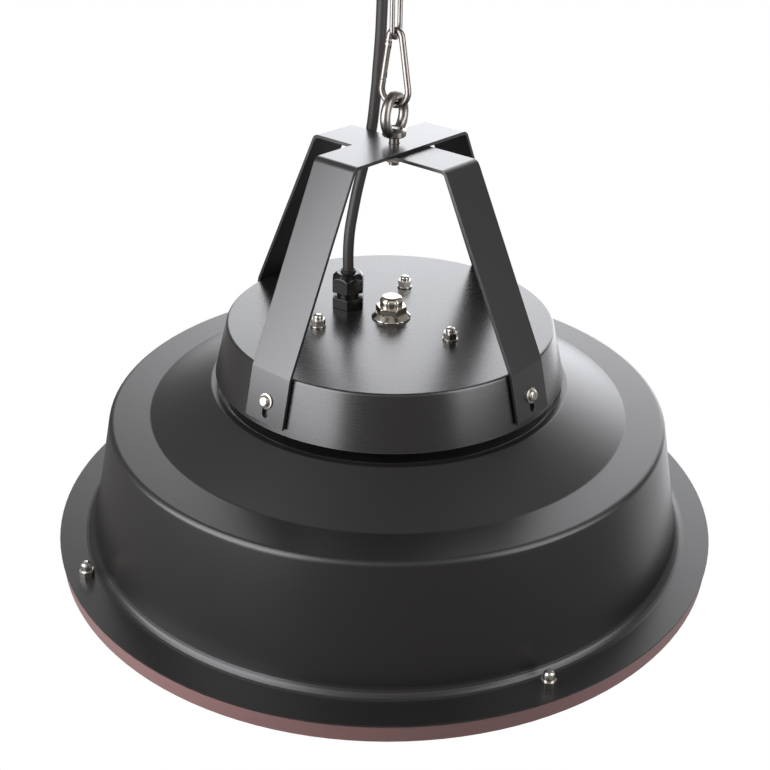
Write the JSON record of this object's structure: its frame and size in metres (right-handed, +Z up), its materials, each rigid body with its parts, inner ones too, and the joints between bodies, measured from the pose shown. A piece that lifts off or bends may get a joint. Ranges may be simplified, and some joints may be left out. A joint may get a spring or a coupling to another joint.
{
  "type": "hanging patio heater",
  "caption": "Hanging ring-lamp patio heater: black spun bell on a crossed strap bracket, hung by an eye bolt, snap hook and link, with its supply cable.",
  "frame": {"origin": "centre of the plate's face that meets the ceiling", "axes": "+Z up, out of the ceiling face; +X along the upper strap of the bracket"},
  "size_m": [0.425, 0.425, 0.41],
  "materials": {
    "black_paint": "satin",
    "strap_paint": "satin",
    "band_paint": "satin",
    "bright_steel": "bright nickel",
    "plated_steel": "zinc plated",
    "black_plastic": "matt",
    "seal_rubber": "matt",
    "cable_jacket": "satin",
    "core_jacket": "satin",
    "lead_sleeve": "matt",
    "block_plastic": "satin",
    "brass": "satin",
    "reflector_metal": "bright rolled",
    "lamp_glass": "clear, warm tint",
    "lamp_wire": "drawn wire",
    "ceramic": "unglazed"
  },
  "bodies": {
    "ceiling": {"ceiling_plate": "plated_steel", "ceiling_canopy": "black_paint", "ceiling_hook": "bright_steel", "canopy_nut": "bright_steel", "canopy_gland": "black_plastic", "supply_cable_upper": "cable_jacket"},
    "link": {"chain_link": "bright_steel"},
    "snap": {"snap_hook": "bright_steel", "gate_pin": "bright_steel", "supply_cable_middle": "cable_jacket"},
    "gate": {"hook_gate": "bright_steel"},
    "heater": {"eye_bolt": "bright_steel", "eye_nut": "bright_steel", "eye_washer": "bright_steel", "strap_upper": "strap_paint", "strap_lower": "strap_paint", "foot_screws": "plated_steel", "foot_nuts": "plated_steel", "top_housing": "black_paint", "housing_base": "plated_steel", "tie_studs": "plated_steel", "tie_washers": "plated_steel", "tie_nuts": "plated_steel", "tie_spacers": "plated_steel", "center_rod": "plated_steel", "center_nut": "bright_steel", "center_washer": "bright_steel", "center_spacers": "plated_steel", "rod_end_nut": "plated_steel", "gland_body": "black_plastic", "gland_nut": "black_plastic", "gland_seal": "seal_rubber", "gland_locknut": "black_plastic", "supply_cable_lower": "cable_jacket", "supply_cores": "core_jacket", "terminal_block": "block_plastic", "terminal_screws": "brass", "earth_screw": "brass", "bell": "black_paint", "rim_ring": "band_paint", "rim_screws": "plated_steel", "rim_nuts": "plated_steel", "guard_clips": "plated_steel", "guard_grille": "bright_steel", "reflector": "reflector_metal", "heat_shield": "reflector_metal", "lamp_tube": "lamp_glass", "lamp_coil": "lamp_wire", "lamp_caps": "ceramic", "lamp_clips": "plated_steel", "lamp_leads": "lead_sleeve"}
  },
  "joints": [
    {"name": "link_swing", "type": "hinge", "parent": "ceiling", "child": "link", "pos_m": [0, 0, -0.0668], "axis": [-0.2079, 0.9781, 0], "range_deg": [-15, 15], "deforming": ["supply_cable_upper"]},
    {"name": "hook_swing", "type": "hinge", "parent": "link", "child": "snap", "pos_m": [0, 0, -0.0915], "axis": [0.9781, 0.2079, 0], "range_deg": [-15, 15], "deforming": ["supply_cable_middle"]},
    {"name": "heater_swing", "type": "hinge", "parent": "snap", "child": "heater", "pos_m": [0, 0, -0.1297], "axis": [-0.2079, 0.9781, 0], "range_deg": [-15, 15], "deforming": ["supply_cable_lower"]},
    {"name": "gate_hinge", "type": "hinge", "parent": "snap", "child": "gate", "pos_m": [-0.00097, 0.00455, -0.09564], "axis": [-0.9781, -0.2079, 0], "range_deg": [0, 25], "stiffness_Nm_per_rad": 0.05, "springref_deg": -11.46}
  ]
}
